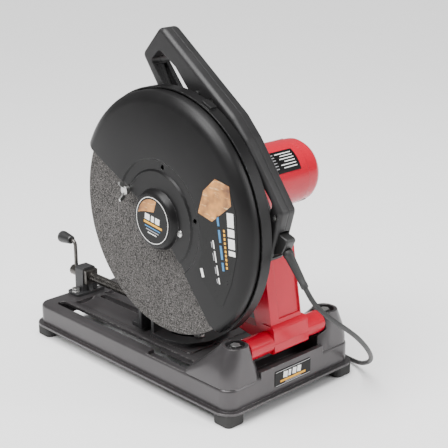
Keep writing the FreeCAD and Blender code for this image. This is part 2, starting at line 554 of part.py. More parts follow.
def make_gears():
    gear_pitch = GEAR_MODULE * GEAR_TEETH / 2.0
    pinion_pitch = GEAR_MODULE * PINION_TEETH / 2.0
    phase = MOTOR_ANGLE
    gear = gear_outline(GEAR_TEETH, gear_pitch + 1.5, gear_pitch - 2.3, 40, SPINDLE_Y, SPINDLE_Z, phase)
    gear = gear.extrude(V(12, 0, 0)).cut(rod_x(10.0, 30, 60, SPINDLE_Y, SPINDLE_Z))
    for k in range(6):
        angle = math.radians(60 * k)
        gear = gear.cut(rod_x(6, 30, 60, SPINDLE_Y + 27 * math.cos(angle), SPINDLE_Z + 27 * math.sin(angle)))
    parts["driven_gear"] = gear
    half_tooth = math.pi / PINION_TEETH
    pinion = gear_outline(PINION_TEETH, pinion_pitch + 1.5, pinion_pitch - 2.3, 39, MOTOR_Y, MOTOR_Z,
                          MOTOR_ANGLE + math.pi + half_tooth)
    shaft = fuse([
        rod_x(6.0, -131, 40, MOTOR_Y, MOTOR_Z),
        rod_x(9.9, -16, GEAR_CASE_LOW - 0.2, MOTOR_Y, MOTOR_Z),
        rod_x(5.5, 52, 60, MOTOR_Y, MOTOR_Z),
        pinion.extrude(V(14, 0, 0)),
    ])
    parts["armature_shaft"] = shaft
    core = rod_x(28.0, -76, -20, MOTOR_Y, MOTOR_Z)
    for k in range(12):
        angle = math.radians(30 * k)
        core = core.cut(rod_x(2.6, -80, -10, MOTOR_Y + 26 * math.cos(angle), MOTOR_Z + 26 * math.sin(angle)))
    core = core.fuse(rod_x(22.0, -88, -76, MOTOR_Y, MOTOR_Z)).fuse(rod_x(22.0, -20, -16.5, MOTOR_Y, MOTOR_Z))
    parts["armature_core"] = core.cut(rod_x(6.0, -90, 0, MOTOR_Y, MOTOR_Z))
    bars = rod_x(16.4, -121, -106, MOTOR_Y, MOTOR_Z)
    for k in range(12):
        angle = math.radians(30 * k)
        bars = bars.cut(box(-122, -108, -0.4, 0.4, 14.8, 18).rotated(V(0, 0, 0), X_AXIS, math.degrees(angle))
                        .translated(V(0, MOTOR_Y, MOTOR_Z)))
    parts["commutator"] = bars.cut(rod_x(6.0, -125, -100, MOTOR_Y, MOTOR_Z))
    hub = rod_x(14, -13, 12, MOTOR_Y, MOTOR_Z)
    disc = rod_x(42, -13, -11, MOTOR_Y, MOTOR_Z)
    fan = hub.fuse(disc)
    blades = []
    for k in range(9):
        blade = box(-12, 6, -1.0, 1.0, 12, 41)
        blade.rotate(V(0, 0, 0), X_AXIS, 40 * k)
        blade.translate(V(0, MOTOR_Y, MOTOR_Z))
        blades.append(blade)
    fan = fuse([fan] + blades)
    parts["cooling_fan"] = fan.cut(rod_x(9.9, -20, 20, MOTOR_Y, MOTOR_Z))


def make_bearings():
    parts["spindle_bearings"] = group([
        ring_x(20.0, 10.03, 62.2, 73.8, SPINDLE_Y, SPINDLE_Z),
        ring_x(13.0, 7.03, 29.0, 37.0, SPINDLE_Y, SPINDLE_Z),
    ])
    parts["motor_bearings"] = group([
        ring_x(11.0, 6.03, -132, -124, MOTOR_Y, MOTOR_Z),
        ring_x(16.0, 9.93, BEARING_LOW, GEAR_CASE_LOW - 0.1, MOTOR_Y, MOTOR_Z),
        ring_x(11.0, 5.53, 55.0, 61.8, MOTOR_Y, MOTOR_Z),
    ])
    bushings = []
    for sx in (-1, 1):
        x0, x1 = sorted((sx * 50.0, sx * TUBE_HALF))
        bushings.append(ring_x(12.0, PIVOT_RADIUS + 0.05, x0, x1, PIVOT_Y, PIVOT_Z))
    parts["pivot_bushings"] = group(bushings)


def make_gear_cover():
    """Plate that closes the gear case towards the wheel and carries the front bearings."""
    disc = rod_x(57, GEAR_CASE_HIGH, GEAR_CASE_HIGH + 5, SPINDLE_Y, SPINDLE_Z)
    disc = disc.fuse(rod_x(36, GEAR_CASE_HIGH, GEAR_CASE_HIGH + 5, MOTOR_Y, MOTOR_Z))
    collar = rod_x(27, GEAR_CASE_HIGH + 4, GUARD_BACK, SPINDLE_Y, SPINDLE_Z)
    cover = disc.fuse(collar)
    cover = cover.cut(rod_x(20.02, 50, 80, SPINDLE_Y, SPINDLE_Z))
    cup = ring_x(14, 11.02, 54.5, GEAR_CASE_HIGH, MOTOR_Y, MOTOR_Z)
    cover = cover.fuse(cup)
    for y, z in GUARD_SCREWS:
        boss = rod_x(6.0, GEAR_CASE_HIGH + 4, GUARD_BACK, y, z)
        cover = cover.fuse(boss).cut(rod_x(2.65, GEAR_CASE_HIGH + 1, GUARD_BACK + 1, y, z))
    parts["gear_case_cover"] = cover


# ---------------------------------------------------------------- head: guard, cover and spindle
GUARD_SCREWS = [(SPINDLE_Y + 48, SPINDLE_Z), (SPINDLE_Y, SPINDLE_Z + 48), (SPINDLE_Y - 48, SPINDLE_Z),
                (SPINDLE_Y, SPINDLE_Z - 48)]
COVER_HOLES = [(83, 352), (150.5, 287)]
COVER_SCREW = (121.0, 262.0)
WING_BOLT = (5.0, 303.0)


def make_guard():
    """Fixed guard: a back plate with a raised rim, open towards the front and below."""
    profile = [(GUARD_BACK, 24), (GUARD_BACK, GUARD_RADIUS - 3), (GUARD_BACK + 3, GUARD_RADIUS),
               (95, GUARD_RADIUS), (95, GUARD_RADIUS - 2.2), (GUARD_BACK + 4, GUARD_RADIUS - 2.2),
               (GUARD_BACK + 2.5, GUARD_RADIUS - 4), (GUARD_BACK + 2.5, 24)]
    guard = turned(profile, SPINDLE_Y, SPINDLE_Z)
    keep = sector(260, 60, 130, SECTOR_LOW, SECTOR_HIGH)
    guard = guard.common(keep.fuse(rod_x(62, 60, 90, SPINDLE_Y, SPINDLE_Z)))
    guard = guard.cut(rod_x(22, 60, 90, SPINDLE_Y, SPINDLE_Z))
    for y, z in GUARD_SCREWS:
        guard = guard.cut(rod_x(2.7, 60, 80, y, z))
    # Small lug on the rim that the spark side deflector could hang on.
    lug = box(80, 92, -9, 9, GUARD_RADIUS - 1, GUARD_RADIUS + 4).rotated(V(0, 0, 0), X_AXIS, -24)
    lug = lug.translated(V(0, SPINDLE_Y, SPINDLE_Z))
    parts["fixed_guard"] = guard.fuse(lug)


def make_front_cover():
    """Clamped cover over the wheel's rear half, with a stepped hub around the arbor bolt."""
    profile = [(95.5, COVER_RADIUS - 2.2), (95.5, COVER_RADIUS), (COVER_EDGE, COVER_RADIUS),
               (COVER_EDGE + 4.5, COVER_RADIUS - 2.5), (COVER_FACE - 3.0, COVER_RADIUS - 9.5),
               (COVER_FACE, COVER_RADIUS - 17), (COVER_FACE, 90), (COVER_FACE - 2.5, 87),
               (COVER_FACE - 2.5, 74), (COVER_FACE, 71), (COVER_FACE, 46), (COVER_FACE + 6.5, 43.0),
               (COVER_FACE + 9, 40.5), (COVER_FACE + 9.5, 39), (COVER_FACE + 9.5, 0),
               (COVER_FACE + 7, 0), (COVER_FACE + 7, 38), (COVER_FACE + 4.5, 41),
               (COVER_FACE - 2.2, 44), (COVER_FACE - 2.2, 69.5), (COVER_FACE - 4.8, 72.5),
               (COVER_FACE - 4.8, 88.5), (COVER_FACE - 2.2, 91.5), (COVER_FACE - 2.2, COVER_RADIUS - 18),
               (COVER_FACE - 5.0, COVER_RADIUS - 11.5), (COVER_EDGE + 2.8, COVER_RADIUS - 4.8),
               (COVER_EDGE - 1, COVER_RADIUS - 2.2)]
    cover = turned(profile, SPINDLE_Y, SPINDLE_Z)
    keep = sector(260, 60, 150, SECTOR_LOW, SECTOR_HIGH)
    keep = keep.fuse(rod_x(46, 60, 150, SPINDLE_Y, SPINDLE_Z))
    cover = cover.common(keep)
    for y, z in COVER_HOLES:
        cover = cover.cut(rod_x(3.6, 100, 140, y, z))
    for y, z in (COVER_SCREW, WING_BOLT):
        cover = cover.cut(rod_x(3.05, 100, 140, y, z))
    parts["front_cover"] = cover
    y, z = COVER_SCREW
    head = turned([(COVER_FACE, 0), (COVER_FACE, 5.2), (COVER_FACE + 1.6, 4.6), (COVER_FACE + 2.6, 2.6),
                   (COVER_FACE + 2.6, 0)], y, z)
    screw = head.cut(box(COVER_FACE + 1.4, COVER_FACE + 4, y - 0.6, y + 0.6, z - 6, z + 6))
    parts["cover_screw"] = screw.cut(cover).fuse(rod_x(3.0, COVER_FACE - 6, COVER_FACE + 0.5, y, z))
    label = rod_x(37.4, COVER_FACE + 9.5, COVER_FACE + 10.1, SPINDLE_Y, SPINDLE_Z)
    panel = plate_yz([(158, 306, 4), (182, 343, 6), (203, 359, 10), (224, 352, 8), (236, 320, 14),
                      (238, 262, 16), (226, 214, 12), (206, 170, 6), (157, 214, 3), (166, 246, 12)],
                     COVER_FACE, COVER_FACE + 0.5)
    panel = panel.common(rod_x(COVER_RADIUS - 18, 110, 130, SPINDLE_Y, SPINDLE_Z))
    panel = panel.cut(rod_x(91, 110, 130, SPINDLE_Y, SPINDLE_Z))
    parts["cover_labels"] = group([label, panel])


def make_wing_bolt():
    y, z = WING_BOLT
    base = rod_x(7, COVER_FACE + 0.1, COVER_FACE + 7, y, z)
    stem = rod_x(3.0, COVER_FACE - 8, COVER_FACE + 4, y, z)
    wings = []
    for side in (-1, 1):
        corners = [(side * 3, COVER_FACE + 2), (side * 13, COVER_FACE + 8), (side * 15, COVER_FACE + 15),
                   (side * 11, COVER_FACE + 16), (side * 3, COVER_FACE + 7)]
        points = [V(x, y - 1.6, z + u) for u, x in corners]
        points.append(points[0])
        wings.append(Part.Face(Part.makePolygon(points)).extrude(V(0, 3.2, 0)))
    parts["wing_bolt"] = fuse([base, stem] + wings)


def make_spindle():
    flange_low = WHEEL_X - 5.5
    parts["spindle"] = fuse([
        rod_x(7.0, 29, 40, SPINDLE_Y, SPINDLE_Z),
        rod_x(10.0, 37.5, flange_low, SPINDLE_Y, SPINDLE_Z),
        rod_x(12.5, 74.5, 82, SPINDLE_Y, SPINDLE_Z),
        rod_x(12.65, flange_low - 3, WHEEL_X + WHEEL_THICK - 0.4, SPINDLE_Y, SPINDLE_Z),
    ]).cut(rod_x(5.0, 80, 120, SPINDLE_Y, SPINDLE_Z))
    inner = ring_x(38, 12.7, flange_low, WHEEL_X, SPINDLE_Y, SPINDLE_Z)
    inner = inner.cut(ring_x(28, 14, WHEEL_X - 1.2, WHEEL_X + 1, SPINDLE_Y, SPINDLE_Z))
    parts["inner_flange"] = inner.cut(rod_x(14, WHEEL_X - 1.2, WHEEL_X + 1, SPINDLE_Y, SPINDLE_Z))
    face = WHEEL_X + WHEEL_THICK
    outer = ring_x(38, 5.1, face, face + 4.5, SPINDLE_Y, SPINDLE_Z)
    parts["outer_flange"] = outer.cut(rod_x(28, face - 1, face + 1.2, SPINDLE_Y, SPINDLE_Z))
    head = hex_prism(17, 6, V(face + 6.5, SPINDLE_Y, SPINDLE_Z), X_AXIS)
    washer = rod_x(12, face + 4.5, face + 6.5, SPINDLE_Y, SPINDLE_Z)
    parts["arbor_bolt"] = fuse([rod_x(5.0, 84, face + 5, SPINDLE_Y, SPINDLE_Z), washer, head])
    parts["abrasive_wheel"] = ring_x(WHEEL_RADIUS, 12.7, WHEEL_X, face, SPINDLE_Y, SPINDLE_Z)


# ---------------------------------------------------------------- handle and controls
HANDLE_OUTLINE = [(-14, 497, 9), (29, 543, 13), (178, 433, 40), (204, 405, 30), (270, 314, 10),
                  (258, 272, 8), (246, 238, 4), (232, 240, 4), (214, 278, 12), (186, 330, 20),
                  (150, 372, 8), (96, 372, 8), (64, 398, 10), (44, 416, 8)]
FINGER_OPENING = [(7, 490, 6), (27, 508, 8), (61, 487, 12), (96, 449, 6), (88, 424, 8), (62, 424, 10)]
WINDOW = [(206, 382, 3), (254, 325, 8), (250, 312, 6), (240, 299, 4), (222, 299, 8), (198, 345, 8)]


TRIGGER_SLOT = [(78, 492, 0), (112, 452, 0), (96, 430, 0), (58, 478, 0)]
GRIP_ROUND = 7.0
FAR_SCREWS = [(9, 507), (60, 500)]
HANDLE_SCREWS = [(135, 447), (118, 384), (172, 378), (259, 306), (236, 262)]
LOCK_Y = 108.0
LOCK_Z = 455.0
BOOT_SOCKET = [(245, 243, 0), (238, 263, 0), (256, 285, 0), (281, 277, 0), (268, 251, 0)]
OVAL_RECESS = [(156.6, 422.7, 5.9), (163.9, 432.3, 5.9), (190.4, 411.9, 5.9), (183.1, 402.3, 5.9)]
LEG_CHANNEL = [(9, 481, 0), (18, 489, 0), (58, 432, 0), (46, 424, 0)]


def handle_half(x0, x1, side):
    half = plate_yz(HANDLE_OUTLINE, x0, x1)
    rim = [e for e in half.Edges
           if abs(e.BoundBox.XMin - side) < 0.01 and abs(e.BoundBox.XMax - side) < 0.01
           and e.CenterOfMass.z > 425 and e.CenterOfMass.y < 200]
    half = half.makeFillet(GRIP_ROUND, rim)
    half = half.cut(plate_yz(FINGER_OPENING, x0 - 1, x1 + 1))
    half = half.cut(plate_yz(WINDOW, x0 - 1, x1 + 1))
    return half


def facing_side(shape, y, z):
    """Turns a handle screw over where it is driven from the handle's far side."""
    if (y, z) in FAR_SCREWS:
        return shape.mirror(V(HANDLE_SEAM, 0, 0), X_AXIS)
    return shape


def make_handle():
    cavity = [(70, 462, 3), (120, 440, 6), (186, 396, 6), (176, 384, 4), (112, 400, 6), (98, 426, 3)]
    cable_run = [(186, 396, 3), (200, 388, 3), (262, 313, 4), (252, 278, 3), (246, 262, 3), (238, 270, 3),
                 (246, 288, 3), (257, 316, 3), (196, 382, 3)]
    near = handle_half(HANDLE_SEAM + 0.1, HANDLE_NEAR, HANDLE_NEAR)
    far = handle_half(HANDLE_FAR, HANDLE_SEAM - 0.1, HANDLE_FAR)
    for name, half in (("handle_near_half", near), ("handle_far_half", far)):
        half = half.cut(plate_yz(cavity, HANDLE_SEAM - 12, HANDLE_SEAM + 12))
        half = half.cut(plate_yz(cable_run, HANDLE_SEAM - 4.2, HANDLE_SEAM + 4.2))
        half = half.cut(plate_yz(TRIGGER_SLOT, HANDLE_SEAM - 6.5, HANDLE_SEAM + 6.5))
        half = half.cut(rod_x(4.6, HANDLE_NEAR - 7, HANDLE_NEAR + 1, LOCK_Y, LOCK_Z))
        half = half.cut(rod_x(3.2, HANDLE_SEAM, HANDLE_NEAR - 6, LOCK_Y, LOCK_Z))
        half = half.cut(plate_yz(BOOT_SOCKET, HANDLE_SEAM - 9.2, HANDLE_SEAM + 9.2))
        half = half.cut(plate_yz(OVAL_RECESS, HANDLE_NEAR - 1.6, HANDLE_NEAR + 1))
        half = half.cut(plate_yz(LEG_CHANNEL, HANDLE_SEAM - 9, HANDLE_SEAM + 9))
        for y, z in HANDLE_SCREWS + FAR_SCREWS:
            hole = rod_x(2.2, HANDLE_FAR + 4, HANDLE_NEAR + 1, y, z)
            hole = hole.fuse(rod_x(4.2, HANDLE_NEAR - 3, HANDLE_NEAR + 1, y, z))
            half = half.cut(facing_side(hole, y, z))
        parts[name] = half
    screws = []
    for y, z in HANDLE_SCREWS + FAR_SCREWS:
        head = rod_x(4.0, HANDLE_NEAR - 3, HANDLE_NEAR - 0.6, y, z)
        cross = box(HANDLE_NEAR - 1.6, HANDLE_NEAR, y - 0.5, y + 0.5, z - 2.4, z + 2.4)
        cross = cross.fuse(box(HANDLE_NEAR - 1.6, HANDLE_NEAR, y - 2.4, y + 2.4, z - 0.5, z + 0.5))
        screw = head.cut(cross).fuse(rod_x(2.1, HANDLE_FAR + 4.5, HANDLE_NEAR - 2, y, z))
        screws.append(facing_side(screw, y, z))
    parts["handle_screws"] = group(screws)
    switch = plate_yz([(104, 432, 2), (142, 414, 2), (136, 400, 2), (112, 404, 2)],
                      HANDLE_SEAM - 9, HANDLE_SEAM + 9)
    parts["switch_body"] = switch


def make_trigger():
    """Finger trigger in the underside of the grip, hinged at its upper end."""
    lever = [(66, 482, 2), (79, 476, 2), (99, 453, 2), (92, 445, 3), (72, 464, 6), (60, 476, 2)]
    body = plate_yz(lever, HANDLE_SEAM - 6, HANDLE_SEAM + 6)
    parts["trigger"] = body
    lock = rod_x(4.4, HANDLE_NEAR - 4, HANDLE_NEAR + 4, LOCK_Y, LOCK_Z)
    parts["lock_on_button"] = lock.fuse(rod_x(3.0, HANDLE_SEAM + 9.5, HANDLE_NEAR - 3.5, LOCK_Y, LOCK_Z))


EXIT_POINT = V(HANDLE_SEAM, 262, 262)
EXIT_DIRECTION = V(0, 0.62, -0.785).normalize()
BOOT_LENGTH = 64.0
BOOT_END = EXIT_POINT + EXIT_DIRECTION * BOOT_LENGTH


def make_strain_relief():
    """Cable clamp block at the handle's lower corner and the tapered boot that the cord leaves."""
    block = plate_yz([(246, 247, 3), (241, 263, 4), (257, 282, 5), (277, 275, 5), (266, 254, 4)],
                     HANDLE_SEAM - 9, HANDLE_SEAM + 9)
    rims = [e for e in block.Edges if e.BoundBox.XLength < 0.01]
    block = block.makeFillet(2.5, rims)
    block = block.cut(Part.makeCylinder(6.1, 40, EXIT_POINT - EXIT_DIRECTION * 4, EXIT_DIRECTION))
    parts["cable_clamp"] = block.cut(Part.makeCylinder(7.8, 30, EXIT_POINT + EXIT_DIRECTION * 6.8, EXIT_DIRECTION))
    collar = Part.makeCylinder(6.0, 12, EXIT_POINT - EXIT_DIRECTION * 4, EXIT_DIRECTION)
    cone = Part.makeCone(7.5, 4.6, BOOT_LENGTH - 7, EXIT_POINT + EXIT_DIRECTION * 7, EXIT_DIRECTION)
    parts["strain_relief"] = collar.fuse(cone)


def make_small_parts():
    screws = []
    for y, z in GUARD_SCREWS:
        screws.append(rod_x(2.6, GEAR_CASE_HIGH + 2, 77, y, z).fuse(rod_x(4.5, 76.5, 79, y, z)))
    parts["guard_screws"] = group(screws)
    # Sprung pin that holds the spindle while the arbor bolt is undone.
    pin = rod_z(4.0, 324.5, 337, LOCK_PIN_X, LOCK_PIN_Y)
    parts["spindle_lock_pin"] = pin.fuse(rod_z(6.5, 336, 345, LOCK_PIN_X, LOCK_PIN_Y))
    # Return spring, coiled round the pivot shaft inside the tube.
    coils = []
    for k in range(SPRING_TURNS):
        x = -SPRING_PITCH * (SPRING_TURNS - 1) / 2.0 + SPRING_PITCH * k
        coils.append(Part.makeTorus(9.6, 1.6, V(x, PIVOT_Y, PIVOT_Z), X_AXIS))
    parts["return_spring"] = group(coils)


# ---------------------------------------------------------------- cord
CORD_LAY = CORD_RADIUS + 0.1
COIL_X = -196.0
COIL_Y = -112.0
COIL_MID = 38.0
COIL_HALF = 11.0
COIL_TOP = 14.5
COIL_TURNS = 6

# The cord leaves the boot, sags past the rear left corner of the base, lies down beside
# the base and runs forward to its coil.
CORD_ROUTE = [
    BOOT_END,
    BOOT_END + EXIT_DIRECTION * 20,
    V(43, 326, 181),
    V(23, 331, 163),
    V(-2, 332, 144),
    V(-28, 330, 123),
    V(-55, 323, 99),
    V(-83, 310, 74),
    V(-109, 292, 50),
    V(-131, 268, 29),
    V(-148, 240, 12),
    V(-160, 208, 5),
    V(-168, 172, CORD_LAY),
    V(-172, 130, CORD_LAY),
    V(-171, 86, CORD_LAY),
    V(-166, 42, CORD_LAY),
    V(-162, -2, CORD_LAY),
    V(-159.5, -40, CORD_LAY),
    V(COIL_X + COIL_MID, -78, CORD_LAY),
]


def cord_path(route):
    """Straight runs joined by tangent arcs, each as large as its two runs allow."""
    edges = []
    radii = []
    start = route[0]
    for i in range(1, len(route) - 1):
        before, corner, after = route[i - 1], route[i], route[i + 1]
        turn = (corner - before).getAngle(after - corner)
        shorter = min((corner - before).Length, (after - corner).Length)
        radius = 0.45 * shorter / math.tan(turn / 2.0)
        radii.append(radius)
        first, middle, last = corner_arc(before, corner, after, radius)
        edges.append(Part.LineSegment(start, first).toShape())
        edges.append(Part.Arc(first, middle, last).toShape())
        start = last
    edges.append(Part.LineSegment(start, route[-1]).toShape())
    return Part.Wire(edges), radii


def make_cord():
    path, radii = cord_path(CORD_ROUTE)
    section = Part.Wire([Part.makeCircle(CORD_RADIUS, BOOT_END, EXIT_DIRECTION)])
    tube = path.makePipeShell([section], True, False)
    expected = math.pi * CORD_RADIUS ** 2 * path.Length
    coil_length = COIL_TURNS * 2 * math.pi * COIL_MID
    print("cord bend radii", " ".join("%.0f" % r for r in radii))
    print("cord tube length %.1f, volume %.1f, section times length %.1f" % (path.Length, tube.Volume, expected))
    print("cord whole length about %.0f" % (path.Length + coil_length))
    parts["cord"] = tube
    outer = rod_z(COIL_MID + COIL_HALF, 0, COIL_TOP, COIL_X, COIL_Y)
    coil = outer.cut(rod_z(COIL_MID - COIL_HALF, -1, COIL_TOP + 1, COIL_X, COIL_Y))
    rims = [e for e in coil.Edges if e.BoundBox.ZMin > COIL_TOP - 0.1 or e.BoundBox.ZMax < 0.1]
    parts["cord_coil"] = coil.makeFillet(3.0, [e for e in rims if len(e.Vertexes) == 1])
    # Two-pin plug, lying where the last turn runs out of the coil.
    x = COIL_X + COIL_MID
    low = COIL_Y - 29
    relief = Part.makeCone(4.2, 6.5, 24, V(x, low, 9.5), V(0, -1, 0))
    body = rounded_box(x - 15, x + 15, low - 62, low - 24, 0.3, 18.7, 7)
    body = body.makeFillet(3.0, [e for e in body.Edges if e.BoundBox.ZMax < 0.4 or e.BoundBox.ZMin > 18.6])
    parts["plug"] = relief.fuse(body)
    pins = [rod_y(2.4, low - 81, low - 60, x + side * 9.5, 9.5) for side in (-1, 1)]
    parts["plug_pins"] = group(pins)
    parts["plug"] = parts["plug"].cut(pins[0]).cut(pins[1]).cut(outer)


def write_all():
    for name, shape in parts.items():
        shape.exportStep(os.path.join("parts", name + ".step"))
        box_size = shape.BoundBox
        print("%-20s solids %2d volume %10.1f valid %s" % (name, len(shape.Solids), shape.Volume, shape.isValid()),
              "x %.1f..%.1f y %.1f..%.1f z %.1f..%.1f" % (box_size.XMin, box_size.XMax, box_size.YMin,
                                                          box_size.YMax, box_size.ZMin, box_size.ZMax))


os.makedirs("parts", exist_ok=True)
parts["base_shell"] = make_base_shell()
make_feet()
make_base_hardware()
make_vise_bracket()
make_vise_screw()
make_jaw()
make_fence()
parts["arm"] = make_arm()
make_motor()
make_gears()
make_bearings()
make_gear_cover()
make_guard()
make_front_cover()
make_wing_bolt()
make_spindle()
make_handle()
make_trigger()
make_strain_relief()
make_small_parts()
make_cord()
write_all()
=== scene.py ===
import json
import math

import bmesh
import bpy
from mathutils import Matrix, Vector


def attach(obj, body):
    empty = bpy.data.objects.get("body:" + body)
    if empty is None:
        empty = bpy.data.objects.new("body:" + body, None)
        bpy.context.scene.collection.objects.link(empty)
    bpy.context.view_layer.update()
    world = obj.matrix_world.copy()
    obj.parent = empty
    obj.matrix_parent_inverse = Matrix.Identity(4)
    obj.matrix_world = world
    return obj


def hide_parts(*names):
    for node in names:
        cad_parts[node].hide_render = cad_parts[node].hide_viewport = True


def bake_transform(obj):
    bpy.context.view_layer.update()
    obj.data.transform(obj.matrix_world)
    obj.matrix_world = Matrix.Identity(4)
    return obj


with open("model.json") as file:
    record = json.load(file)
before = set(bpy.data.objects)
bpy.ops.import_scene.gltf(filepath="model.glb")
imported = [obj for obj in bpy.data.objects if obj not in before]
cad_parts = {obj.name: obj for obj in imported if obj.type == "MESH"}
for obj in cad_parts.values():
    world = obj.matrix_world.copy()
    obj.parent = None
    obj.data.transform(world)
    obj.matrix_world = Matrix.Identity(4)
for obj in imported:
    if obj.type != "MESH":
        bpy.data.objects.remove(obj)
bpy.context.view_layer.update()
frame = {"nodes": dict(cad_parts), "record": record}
nodes = frame["nodes"]
scene = bpy.context.scene

SPINDLE_Y, SPINDLE_Z = 0.072, 0.2725
MOTOR_Y, MOTOR_Z = 0.11552, 0.30774
COVER_FACE = 0.118
HANDLE_SEAM = 0.0515
REAR_LABEL_FACE = 0.2338
COVER_LABEL_LIFT = 0.00052
HUB_LABEL_LIFT = 0.01012
PRINT_THICKNESS = 0.00012
REAR_PRINT_THICKNESS = 0.0001
VIEW_CENTRE = Vector((0, 0, 0.22))
EDGE_ANGLE = math.radians(32)
WELD_DISTANCE = 0.000004


# ---------------------------------------------------------------- material helpers
def node(tree, kind, values=None, **settings):
    """A shader node with its settings and its input values."""
    made = tree.nodes.new(kind)
    for key, value in settings.items():
        setattr(made, key, value)
    for key, value in (values or {}).items():
        made.inputs[key].default_value = value
    return made


def noise(tree, coord, scale, detail=3.0, rough=0.55):
    """Noise as a factor over the object's own coordinates."""
    made = node(tree, "ShaderNodeTexNoise", {"Scale": scale, "Detail": detail, "Roughness": rough})
    tree.links.new(coord, made.inputs["Vector"])
    return made.outputs["Fac"]


def spread(tree, value, low, high, to_low, to_high):
    """Maps the range low to high onto to_low to to_high, clamped."""
    made = node(tree, "ShaderNodeMapRange", {"From Min": low, "From Max": high, "To Min": to_low,
                                             "To Max": to_high})
    tree.links.new(value, made.inputs["Value"])
    return made.outputs["Result"]


def blend_colours(tree, factor, first, second):
    """Mixes two colours, each a tuple or a socket, by a factor socket."""
    made = node(tree, "ShaderNodeMix", data_type="RGBA")
    for socket, colour in ((made.inputs[6], first), (made.inputs[7], second)):
        if isinstance(colour, tuple):
            socket.default_value = (*colour, 1.0)
        else:
            tree.links.new(colour, socket)
    tree.links.new(factor, made.inputs[0])
    return made.outputs[2]


def finish_bump(tree, shader, heights, round_m):
    """Chains bumps over a softened edge normal; heights holds (socket, distance, strength)."""
    normal = None
    if round_m:
        soft = node(tree, "ShaderNodeBevel", {"Radius": round_m}, samples=4)
        normal = soft.outputs["Normal"]
    for height, distance, strength in heights:
        bump = node(tree, "ShaderNodeBump", {"Distance": distance, "Strength": strength})
        tree.links.new(height, bump.inputs["Height"])
        if normal is not None:
            tree.links.new(normal, bump.inputs["Normal"])
        normal = bump.outputs["Normal"]
    if normal is not None:
        tree.links.new(normal, shader.inputs["Normal"])


def edge_mask(tree, radius, coord):
    """Bright where an edge is sharp, broken up by noise, for rubbed paint."""
    soft = node(tree, "ShaderNodeBevel", {"Radius": radius}, samples=4)
    facing = node(tree, "ShaderNodeNewGeometry")
    dot = node(tree, "ShaderNodeVectorMath", operation="DOT_PRODUCT")
    tree.links.new(soft.outputs["Normal"], dot.inputs[0])
    tree.links.new(facing.outputs["Normal"], dot.inputs[1])
    sharp = spread(tree, dot.outputs["Value"], 0.99, 0.90, 0.0, 1.0)
    broken = spread(tree, noise(tree, coord, 260.0, 4.0, 0.7), 0.46, 0.66, 0.0, 1.0)
    both = node(tree, "ShaderNodeMath", operation="MULTIPLY")
    tree.links.new(sharp, both.inputs[0])
    tree.links.new(broken, both.inputs[1])
    return both.outputs["Value"]


def surface(name, base, other, rough, rough_spread, metallic=0.0, cloud=14.0, grain=900.0, relief=0.00005,
            strength=0.35, round_m=0.0, coat=0.0, worn=None, specular=0.5):
    """Paint, plastic or rubber: clouded colour and gloss, fine grain and optional rubbed edges."""
    mat = bpy.data.materials.new(name)
    mat.use_nodes = True
    tree = mat.node_tree
    shader = tree.nodes["Principled BSDF"]
    coord = node(tree, "ShaderNodeTexCoord").outputs["Object"]
    clouds = noise(tree, coord, cloud, 4.0)
    grains = noise(tree, coord, grain, 2.0)
    colour = blend_colours(tree, spread(tree, clouds, 0.3, 0.7, 0.0, 1.0), base, other)
    if worn is not None:
        mask = edge_mask(tree, 0.0012, coord)
        colour = blend_colours(tree, mask, colour, worn)
    tree.links.new(colour, shader.inputs["Base Color"])
    tree.links.new(spread(tree, clouds, 0.3, 0.7, rough - rough_spread, rough + rough_spread),
                   shader.inputs["Roughness"])
    shader.inputs["Metallic"].default_value = metallic
    shader.inputs["Specular IOR Level"].default_value = specular
    shader.inputs["Coat Weight"].default_value = coat
    shader.inputs["Coat Roughness"].default_value = 0.12
    finish_bump(tree, shader, [(grains, relief, strength)], round_m)
    return mat


def brushed(name, base, other, rough, along, scale=700.0):
    """Bare metal with fine marks stretched along one axis."""
    mat = bpy.data.materials.new(name)
    mat.use_nodes = True
    tree = mat.node_tree
    shader = tree.nodes["Principled BSDF"]
    coord = node(tree, "ShaderNodeTexCoord").outputs["Object"]
    stretch = node(tree, "ShaderNodeMapping")
    stretch.inputs["Scale"].default_value = tuple(0.04 if k == along else 1.0 for k in range(3))
    tree.links.new(coord, stretch.inputs["Vector"])
    lines = noise(tree, stretch.outputs["Vector"], scale, 3.0)
    stains = noise(tree, coord, 90.0, 4.0)
    tree.links.new(blend_colours(tree, spread(tree, stains, 0.35, 0.7, 0.0, 1.0), base, other),
                   shader.inputs["Base Color"])
    tree.links.new(spread(tree, lines, 0.2, 0.8, rough - 0.08, rough + 0.12), shader.inputs["Roughness"])
    shader.inputs["Metallic"].default_value = 1.0
    finish_bump(tree, shader, [(lines, 0.00004, 0.25)], 0.0004)
    return mat


